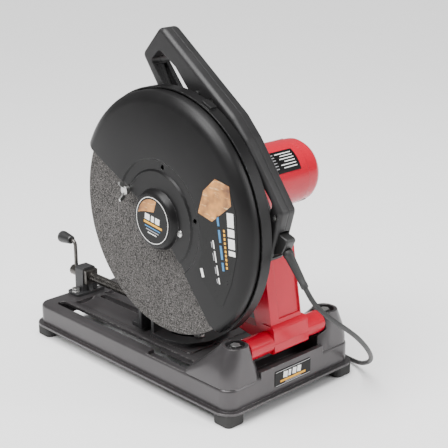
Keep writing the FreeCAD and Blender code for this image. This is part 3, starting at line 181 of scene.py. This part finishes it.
def grit_material():
    """Bonded abrasive: coarse dark grains with pale specks over a faint woven mesh."""
    mat = bpy.data.materials.new("abrasive_grit")
    mat.use_nodes = True
    tree = mat.node_tree
    shader = tree.nodes["Principled BSDF"]
    coord = node(tree, "ShaderNodeTexCoord").outputs["Object"]
    cells = node(tree, "ShaderNodeTexVoronoi", {"Scale": 480.0})
    tree.links.new(coord, cells.inputs["Vector"])
    cell_tone = node(tree, "ShaderNodeSeparateColor")
    tree.links.new(cells.outputs["Color"], cell_tone.inputs["Color"])
    dark = blend_colours(tree, cell_tone.outputs["Red"], (0.012, 0.0112, 0.0108),
                         (0.105, 0.099, 0.095))
    specks = spread(tree, noise(tree, coord, 560.0, 2.0, 0.7), 0.56, 0.70, 0.0, 0.8)
    speckled = blend_colours(tree, specks, dark, (0.36, 0.345, 0.33))
    stains = spread(tree, noise(tree, coord, 22.0, 4.0), 0.35, 0.7, 0.0, 0.3)
    tree.links.new(blend_colours(tree, stains, speckled, (0.036, 0.034, 0.033)), shader.inputs["Base Color"])
    shader.inputs["Roughness"].default_value = 0.93
    shader.inputs["Specular IOR Level"].default_value = 0.25
    weave = node(tree, "ShaderNodeTexWave", {"Scale": 95.0, "Distortion": 1.2, "Detail": 1.0},
                 bands_direction="DIAGONAL")
    tree.links.new(coord, weave.inputs["Vector"])
    finish_bump(tree, shader, [(weave.outputs["Fac"], 0.0002, 0.25),
                               (cells.outputs["Distance"], 0.0006, 0.8)], 0.0)
    return mat


def printed(name, colour, other):
    """Printed film, slightly uneven in gloss."""
    return surface(name, colour, other, 0.32, 0.05, cloud=240.0, grain=1400.0, relief=0.00001,
                   strength=0.15, specular=0.2)


def spark_print():
    """Generic warm picture band of a label: glowing streaks fading to brown."""
    mat = bpy.data.materials.new("print_sparks")
    mat.use_nodes = True
    tree = mat.node_tree
    shader = tree.nodes["Principled BSDF"]
    coord = node(tree, "ShaderNodeTexCoord").outputs["Object"]
    stretch = node(tree, "ShaderNodeMapping")
    stretch.inputs["Rotation"].default_value = (math.radians(38), 0, 0)
    stretch.inputs["Scale"].default_value = (1.0, 0.22, 1.0)
    tree.links.new(coord, stretch.inputs["Vector"])
    streaks = noise(tree, stretch.outputs["Vector"], 230.0, 5.0, 0.65)
    glow = noise(tree, coord, 38.0, 2.0)
    warm = blend_colours(tree, spread(tree, glow, 0.35, 0.65, 0.0, 1.0), (0.07, 0.018, 0.005),
                         (0.62, 0.26, 0.05))
    bright = blend_colours(tree, spread(tree, streaks, 0.55, 0.72, 0.0, 0.9), warm, (0.92, 0.66, 0.33))
    tree.links.new(bright, shader.inputs["Base Color"])
    tree.links.new(spread(tree, streaks, 0.3, 0.7, 0.28, 0.38), shader.inputs["Roughness"])
    return mat


# ---------------------------------------------------------------- materials by record slot
finishes = {
    "base_paint": surface("base_paint", (0.058, 0.054, 0.056), (0.074, 0.069, 0.071), 0.34, 0.05, 0.65,
                          cloud=9.0, grain=1300.0, relief=0.00004, round_m=0.0012, coat=0.15,
                          worn=(0.30, 0.29, 0.28)),
    "guard_paint": surface("guard_paint", (0.0050, 0.0048, 0.0050), (0.0080, 0.0077, 0.0080), 0.36,
                           0.05, cloud=10.0, grain=1300.0, relief=0.00004, round_m=0.0015,
                           worn=(0.10, 0.10, 0.10), specular=0.22),
    "red_paint": surface("red_paint", (0.42, 0.0010, 0.016), (0.50, 0.0015, 0.022), 0.22, 0.04, 0.0,
                         cloud=12.0, grain=700.0, relief=0.00005, round_m=0.0014, coat=0.1,
                         worn=(0.32, 0.03, 0.04), specular=0.3),
    "black_paint": surface("black_paint", (0.016, 0.016, 0.017), (0.024, 0.024, 0.025), 0.42, 0.06,
                           cloud=20.0, grain=1000.0, relief=0.00006, round_m=0.0008, worn=(0.16, 0.15, 0.15)),
    "handle_plastic": surface("handle_plastic", (0.012, 0.0116, 0.012), (0.018, 0.0174, 0.018), 0.40,
                              0.05, cloud=16.0, grain=1700.0, relief=0.00012, strength=0.5, round_m=0.0022,
                              specular=0.32),
    "black_plastic": surface("black_plastic", (0.012, 0.012, 0.012), (0.019, 0.019, 0.019), 0.42, 0.06, 0.0,
                             cloud=22.0, grain=1500.0, relief=0.0001, strength=0.45, round_m=0.001),
    "foot_rubber": surface("foot_rubber", (0.012, 0.012, 0.012), (0.030, 0.029, 0.028), 0.80, 0.08, 0.0,
                           cloud=45.0, grain=1100.0, relief=0.0002, strength=0.5, round_m=0.001),
    "cord_rubber": surface("cord_rubber", (0.011, 0.011, 0.011), (0.018, 0.018, 0.018), 0.50, 0.07, 0.0,
                           cloud=60.0, grain=1500.0, relief=0.0001, strength=0.35, round_m=0.0008),
    "zinc_steel": brushed("zinc_steel", (0.62, 0.62, 0.61), (0.48, 0.48, 0.47), 0.30, 2),
    "dark_steel": brushed("dark_steel", (0.135, 0.128, 0.12), (0.075, 0.07, 0.066), 0.36, 1),
    "bearing_steel": brushed("bearing_steel", (0.58, 0.58, 0.59), (0.45, 0.45, 0.46), 0.24, 0),
    "laminations": brushed("laminations", (0.20, 0.19, 0.18), (0.12, 0.115, 0.11), 0.5, 1, scale=1200.0),
    "copper": brushed("copper", (0.78, 0.36, 0.18), (0.62, 0.27, 0.13), 0.30, 0),
    "pin_brass": brushed("pin_brass", (0.80, 0.60, 0.27), (0.66, 0.47, 0.19), 0.26, 1),
    "carbon": surface("carbon", (0.02, 0.02, 0.02), (0.035, 0.035, 0.035), 0.6, 0.1),
    "grit": grit_material(),
    "plate_foil": printed("plate_foil", (0.0030, 0.0030, 0.0030), (0.0045, 0.0045, 0.0045)),
    "cast_alloy": surface("cast_alloy", (0.52, 0.52, 0.53), (0.43, 0.43, 0.44), 0.48, 0.08, 0.9, cloud=30.0,
                          grain=500.0, relief=0.0002, strength=0.5, round_m=0.001),
}
for part in frame["record"]["subparts"]:
    made = nodes[part["node"]]
    made.data.materials.clear()
    made.data.materials.append(finishes[part["material_slot"]])
for made in nodes.values():
    for face in made.data.polygons:
        face.use_smooth = True
    weld = made.modifiers.new("weld", "WELD")
    weld.merge_threshold = WELD_DISTANCE
    split = made.modifiers.new("split", "EDGE_SPLIT")
    split.split_angle = EDGE_ANGLE

print_white = printed("print_white", (0.90, 0.90, 0.88), (0.84, 0.84, 0.82))
print_gold = printed("print_gold", (0.80, 0.42, 0.03), (0.70, 0.33, 0.02))
print_grey = printed("print_grey", (0.32, 0.32, 0.33), (0.27, 0.27, 0.28))
print_silver = brushed("print_silver", (0.70, 0.70, 0.70), (0.60, 0.60, 0.60), 0.34, 2)


# ---------------------------------------------------------------- mesh helpers
def mesh_piece(name, verts, faces, materials, indices=None, body=None, smooth=True):
    """A mesh object that rides on a body; indices gives each face's material number."""
    mesh = bpy.data.meshes.new(name)
    mesh.from_pydata([tuple(v) for v in verts], [], faces)
    mesh.validate()
    for mat in materials:
        mesh.materials.append(mat)
    for k, face in enumerate(mesh.polygons):
        face.use_smooth = smooth
        if indices is not None:
            face.material_index = indices[k]
    made = bpy.data.objects.new(name, mesh)
    scene.collection.objects.link(made)
    work = bmesh.new()
    work.from_mesh(mesh)
    bmesh.ops.recalc_face_normals(work, faces=work.faces)
    work.to_mesh(mesh)
    work.free()
    if body is not None:
        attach(made, body)
    return made


def decal(name, shapes, place, thickness, materials, body):
    """Thin printed shapes: shapes holds (points, material number); place turns (u, v, w) to a point."""
    verts, faces, indices = [], [], []
    for points, number in shapes:
        start = len(verts)
        count = len(points)
        verts += [place(u, v, 0.0) for u, v in points] + [place(u, v, thickness) for u, v in points]
        faces.append([start + k for k in range(count)])
        faces.append([start + count + k for k in reversed(range(count))])
        faces += [[start + k, start + (k + 1) % count, start + count + (k + 1) % count, start + count + k]
                  for k in range(count)]
        indices += [number] * (count + 2)
    return mesh_piece(name, verts, faces, materials, indices, body, smooth=False)


def bar(centre, length, width, angle):
    """A straight bar as four points, turned by angle degrees."""
    c, s = math.cos(math.radians(angle)), math.sin(math.radians(angle))
    return [(centre[0] + c * u - s * v, centre[1] + s * u + c * v)
            for u, v in ((-length / 2, -width / 2), (length / 2, -width / 2), (length / 2, width / 2),
                         (-length / 2, width / 2))]


def arc_band(inner, outer, low, high, steps=24):
    """Outline of a ring sector between two angles in degrees."""
    points = [(outer * math.cos(math.radians(low + (high - low) * k / steps)),
               outer * math.sin(math.radians(low + (high - low) * k / steps))) for k in range(steps + 1)]
    return points + [(inner * math.cos(math.radians(high + (low - high) * k / steps)),
                      inner * math.sin(math.radians(high + (low - high) * k / steps)))
                     for k in range(steps + 1)]


# ---------------------------------------------------------------- camera
azimuth, elevation, roll = math.radians(138.45), math.radians(18.58), math.radians(-1.03)
distance = 1.77255
focal_pixels, picture_pixels, shift_pixels = 1125.42, 448.0, 38.59
back = Vector((math.sin(azimuth) * math.cos(elevation), -math.cos(azimuth) * math.cos(elevation),
               math.sin(elevation)))
right = Vector((0, 0, 1)).cross(back).normalized()
up = back.cross(right)
right_turned = right * math.cos(roll) + up * math.sin(roll)
up_turned = up * math.cos(roll) - right * math.sin(roll)
lens = bpy.data.cameras.new("camera")
lens.sensor_width = 36.0
lens.lens = focal_pixels * 36.0 / picture_pixels
lens.shift_x = shift_pixels / picture_pixels
lens.clip_end = 30.0
camera = bpy.data.objects.new("camera", lens)
scene.collection.objects.link(camera)
turned = Matrix((right_turned, up_turned, back)).transposed().to_4x4()
camera.matrix_world = Matrix.Translation(back * distance + VIEW_CENTRE) @ turned
scene.camera = camera

# ---------------------------------------------------------------- cord
CORD_RADIUS = 0.0035
ROUTE = [
    (0.0515, 0.301668, 0.211776), (0.0515, 0.314064, 0.196080), (0.043, 0.326, 0.181),
    (0.023, 0.331, 0.163), (-0.002, 0.332, 0.144), (-0.028, 0.330, 0.123), (-0.055, 0.323, 0.099),
    (-0.083, 0.310, 0.074), (-0.109, 0.292, 0.050), (-0.131, 0.268, 0.029), (-0.148, 0.240, 0.012),
    (-0.160, 0.208, 0.005), (-0.168, 0.172, 0.0037), (-0.172, 0.130, 0.0037), (-0.171, 0.086, 0.0037),
    (-0.166, 0.042, 0.0037),
    (-0.162, -0.002, 0.0037), (-0.1595, -0.040, 0.0037), (-0.158, -0.078, 0.0037),
]
COIL_CENTRE = (-0.196, -0.112)
COIL_PITCH = 0.00712
COIL_OUTER, COIL_UPPER_OUTER = 0.0463, 0.0448
LOWER_LAYER, LAYER_RISE = 0.0037, 0.0071
STEPS = 16


def coil_points():
    """Six turns: three spiral in along the floor, then three spiral out on top of them."""
    points = []
    swell = 1.0 / math.cos(math.pi / STEPS)
    first = 20.0
    for k in range(3 * STEPS):
        angle = math.radians(first - 360.0 * k / STEPS)
        radius = (COIL_OUTER - COIL_PITCH * k / STEPS) * swell
        rise = min(1.0, max(0.0, (k - 3 * STEPS + 5) / 5.0))
        points.append((angle, radius, LOWER_LAYER + LAYER_RISE * rise))
    for k in range(3 * STEPS - 1):
        angle = math.radians(first - 360.0 * k / STEPS)
        radius = (COIL_OUTER - 3 * COIL_PITCH + COIL_PITCH * (k + 1) / STEPS) * swell
        points.append((angle, min(radius, COIL_UPPER_OUTER), LOWER_LAYER + LAYER_RISE))
    placed = [(COIL_CENTRE[0] + r * math.cos(a), COIL_CENTRE[1] + r * math.sin(a), z) for a, r, z in points]
    return placed + [(-0.1565, -0.121, 0.0106), (-0.1580, -0.133, 0.0098), (-0.1580, -0.1428, 0.0095)]


def spline_object(name, points, radius):
    """An open NURBS line through the control points, round where the radius isn't zero."""
    line = bpy.data.curves.new(name, "CURVE")
    line.dimensions = "3D"
    line.resolution_u = 8
    line.bevel_depth = radius
    line.bevel_resolution = 5
    line.use_fill_caps = radius > 0
    spline = line.splines.new("NURBS")
    spline.points.add(len(points) - 1)
    for point, place in zip(spline.points, points):
        point.co = (*place, 1.0)
    spline.order_u = 3
    spline.use_endpoint_u = True
    made = bpy.data.objects.new(name, line)
    scene.collection.objects.link(made)
    return made


def as_mesh(source):
    """Turns a curve object into mesh data and removes the curve."""
    bpy.context.view_layer.update()
    mesh = bpy.data.meshes.new_from_object(source.evaluated_get(bpy.context.evaluated_depsgraph_get()))
    bpy.data.objects.remove(source)
    return mesh


centre_line = as_mesh(spline_object("cord_line", ROUTE + coil_points(), 0.0))
flex_mesh = as_mesh(spline_object("cord_tube", ROUTE + coil_points(), CORD_RADIUS))
flex_mesh.materials.clear()
flex_mesh.materials.append(finishes["cord_rubber"])
for face in flex_mesh.polygons:
    face.use_smooth = True
flex = bpy.data.objects.new("mains_cord", flex_mesh)
scene.collection.objects.link(flex)
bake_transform(flex)
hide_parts("cord", "cord_coil")


# ---------------------------------------------------------------- strain relief boot
def lathe(name, profile, origin, direction, material, body, steps=40):
    """Solid of revolution: profile holds (distance along, radius)."""
    z = Vector(direction).normalized()
    x = z.orthogonal().normalized()
    y = z.cross(x)
    verts, faces = [], []
    for along, radius in profile:
        for k in range(steps):
            angle = 2 * math.pi * k / steps
            verts.append(Vector(origin) + z * along + (x * math.cos(angle) + y * math.sin(angle)) * radius)
    for i in range(len(profile) - 1):
        for k in range(steps):
            faces.append([i * steps + k, i * steps + (k + 1) % steps, (i + 1) * steps + (k + 1) % steps,
                          (i + 1) * steps + k])
    faces.append(list(range(steps)))
    faces.append([(len(profile) - 1) * steps + k for k in reversed(range(steps))])
    return mesh_piece(name, verts, faces, [material], body=body)


exit_point = Vector((HANDLE_SEAM, 0.262, 0.262))
exit_direction = Vector((0, 0.62, -0.785)).normalized()
boot_profile = [(-0.004, 0.0056), (0.0065, 0.0058), (0.0070, 0.0070), (0.0078, 0.0075), (0.0140, 0.0075),
                (0.0150, 0.0070), (0.0160, 0.0066), (0.0300, 0.0061), (0.0450, 0.0055), (0.0560, 0.0050),
                (0.0570, 0.0053), (0.0625, 0.0052), (0.0640, 0.0042)]
boot = lathe("strain_relief_boot", boot_profile, exit_point, exit_direction, finishes["cord_rubber"], "head")
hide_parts("strain_relief")


# ---------------------------------------------------------------- labels
def on_cover(u, v, w):
    """A point on the cover's label panel."""
    return Vector((COVER_FACE + COVER_LABEL_LIFT + w, u, v))


def on_hub(u, v, w):
    """A point on the hub's round label, measured from its centre."""
    return Vector((COVER_FACE + HUB_LABEL_LIFT + w, SPINDLE_Y + u, SPINDLE_Z + v))


def on_rear(u, v, w):
    """A point on the plate on the rear of the base."""
    return Vector((u, REAR_LABEL_FACE + 0.00002 + w, v))


cover_shapes = [([(0.1605, 0.3030), (0.1715, 0.3370), (0.1950, 0.3585), (0.2225, 0.3535), (0.2262, 0.3270),
                  (0.2060, 0.3105), (0.1885, 0.2965)], 0)]
for low, length in ((0.3065, 0.020), (0.2885, 0.011), (0.2730, 0.014), (0.2595, 0.007)):
    lean = 0.2237 + 0.0043 * (0.321 - low) / 0.063
    cover_shapes.append((bar((lean, low), length, 0.0125, -86), 1))
for k in range(10):
    cover_shapes.append((bar((0.2122 + 0.00062 * k, 0.2885 - 0.0058 * k), 0.0036, 0.0034, -84), 2))
for start, length in ((0.3000, 0.014), (0.2790, 0.018), (0.2560, 0.020), (0.2360, 0.012)):
    cover_shapes.append((bar((0.1992 + 0.15 * (0.308 - start), start), length, 0.0042, -81), 4))
for start, length in ((0.2640, 0.012), (0.2470, 0.016), (0.2280, 0.014), (0.2130, 0.009)):
    cover_shapes.append((bar((0.1900 + 0.21 * (0.270 - start), start), length, 0.0022, -78), 1))
    cover_shapes.append((bar((0.1862 + 0.21 * (0.270 - start), start - 0.001), length * 0.7, 0.0016, -78), 3))
cover_shapes.append((bar((0.1675, 0.2160), 0.013, 0.0050, -72), 1))
print_blue = printed("print_blue", (0.06, 0.22, 0.42), (0.04, 0.16, 0.34))
print_sparks = spark_print()
decal("cover_print", cover_shapes, on_cover, PRINT_THICKNESS,
      [print_sparks, print_white, print_gold, print_grey, print_blue], "wheel_cover")
picture = [(0.0318 * math.cos(math.radians(a)), 0.0318 * math.sin(math.radians(a)))
           for a in range(72, 172, 5)]
hub_shapes = [(arc_band(0.0345, 0.0354, 0, 180), 1), (arc_band(0.0345, 0.0354, 180, 360), 1),
              (picture + [(-0.018, 0.0110), (0.004, 0.0135)], 0),
              (bar((-0.0105, 0.0040), 0.0105, 0.0090, -8), 1), (bar((0.0010, 0.0024), 0.0065, 0.0090, -8), 1),
              (bar((0.0115, 0.0010), 0.0095, 0.0090, -8), 1),
              (bar((0.0015, -0.0063), 0.040, 0.0034, -8), 2), (bar((0.0005, -0.0120), 0.034, 0.0018, -8), 4),
              (bar((0.0, -0.0165), 0.028, 0.0015, -8), 3), (bar((-0.0005, -0.0208), 0.019, 0.0015, -8), 1)]
decal("hub_print", hub_shapes, on_hub, PRINT_THICKNESS,
      [print_sparks, print_white, print_gold, print_grey, print_blue], "wheel_cover")
rear_shapes = [([(-0.0365, 0.0550), (0.0365, 0.0550), (0.0365, 0.0556), (-0.0365, 0.0556)], 3),
               ([(-0.0365, 0.0334), (0.0365, 0.0334), (0.0365, 0.0340), (-0.0365, 0.0340)], 3),
               (bar((-0.013, 0.0475), 0.008, 0.0095, 8), 0), (bar((-0.003, 0.0475), 0.008, 0.0095, 8), 0),
               (bar((0.007, 0.0475), 0.005, 0.0095, 8), 0), (bar((0.016, 0.0475), 0.009, 0.0095, 8), 0),
               (bar((0.0, 0.0390), 0.054, 0.0034, 0), 1), (bar((0.0, 0.0358), 0.034, 0.0012, 0), 2)]
decal("rear_print", rear_shapes, on_rear, REAR_PRINT_THICKNESS,
      [print_white, print_gold, print_grey, print_silver], "base")


def on_motor(u, v, w):
    """A point on the motor's data plate: u along the motor, v the angle in degrees."""
    radius = 0.05142 + 0.0125 * (u + 0.088) + w
    angle = math.radians(v)
    return Vector((u, MOTOR_Y + radius * math.cos(angle), MOTOR_Z + radius * math.sin(angle)))


motor_shapes = []
for row, (start, end) in enumerate(((-0.082, -0.048), (-0.082, -0.056), (-0.082, -0.052), (-0.082, -0.060),
                                    (-0.082, -0.050), (-0.082, -0.054))):
    low = 54.0 - 5.2 * row
    motor_shapes.append(([(start, low), (end, low), (end, low + 1.5), (start, low + 1.5)], 0))
    value_end = -0.036 - 0.001 * (row % 3)
    motor_shapes.append(([(-0.044, low), (value_end, low), (value_end, low + 1.5), (-0.044, low + 1.5)], 1))
decal("motor_print", motor_shapes, on_motor, PRINT_THICKNESS, [print_white, print_grey], "head")

# ---------------------------------------------------------------- floor and light
floor_mat = surface("studio_floor", (0.93, 0.93, 0.93), (0.91, 0.91, 0.91), 0.62, 0.04, cloud=1.2,
                    grain=60.0)
floor_mesh = bpy.data.meshes.new("studio_floor")
floor_mesh.from_pydata([(-12, -12, 0), (12, -12, 0), (12, 12, 0), (-12, 12, 0)], [], [[0, 1, 2, 3]])
floor_mesh.materials.append(floor_mat)
floor = bpy.data.objects.new("studio_floor", floor_mesh)
scene.collection.objects.link(floor)
world = bpy.data.worlds.new("studio")
world.use_nodes = True
world.node_tree.nodes["Background"].inputs["Color"].default_value = (1.0, 1.0, 1.0, 1.0)
world.node_tree.nodes["Background"].inputs["Strength"].default_value = 0.32
scene.world = world


def softbox(name, place, size, power):
    """A rectangular area light facing the saw."""
    data = bpy.data.lights.new(name, "AREA")
    data.shape = "RECTANGLE"
    data.size, data.size_y = size
    data.energy = power
    made = bpy.data.objects.new(name, data)
    made.location = place
    made.rotation_euler = (Vector(place) - VIEW_CENTRE).to_track_quat("Z", "Y").to_euler()
    scene.collection.objects.link(made)


softbox("key", VIEW_CENTRE + back * 1.2 - right * 1.5 + Vector((0, 0, 1.5)), (0.9, 0.9), 40.0)
softbox("top", (0.1, 0.1, 2.2), (1.6, 1.6), 30.0)
softbox("side", VIEW_CENTRE + back * 0.7 + right * 1.9 + Vector((0, 0, 0.7)), (0.5, 1.4), 22.0)
sky_data = bpy.data.lights.new("overhead", "SUN")
sky_data.energy = 4.6
sky_data.angle = math.radians(50)
sky = bpy.data.objects.new("overhead", sky_data)
sky.rotation_euler = (back * 0.5 - right * 0.35 + Vector((0, 0, 1.3))).to_track_quat("Z", "Y").to_euler()
scene.collection.objects.link(sky)
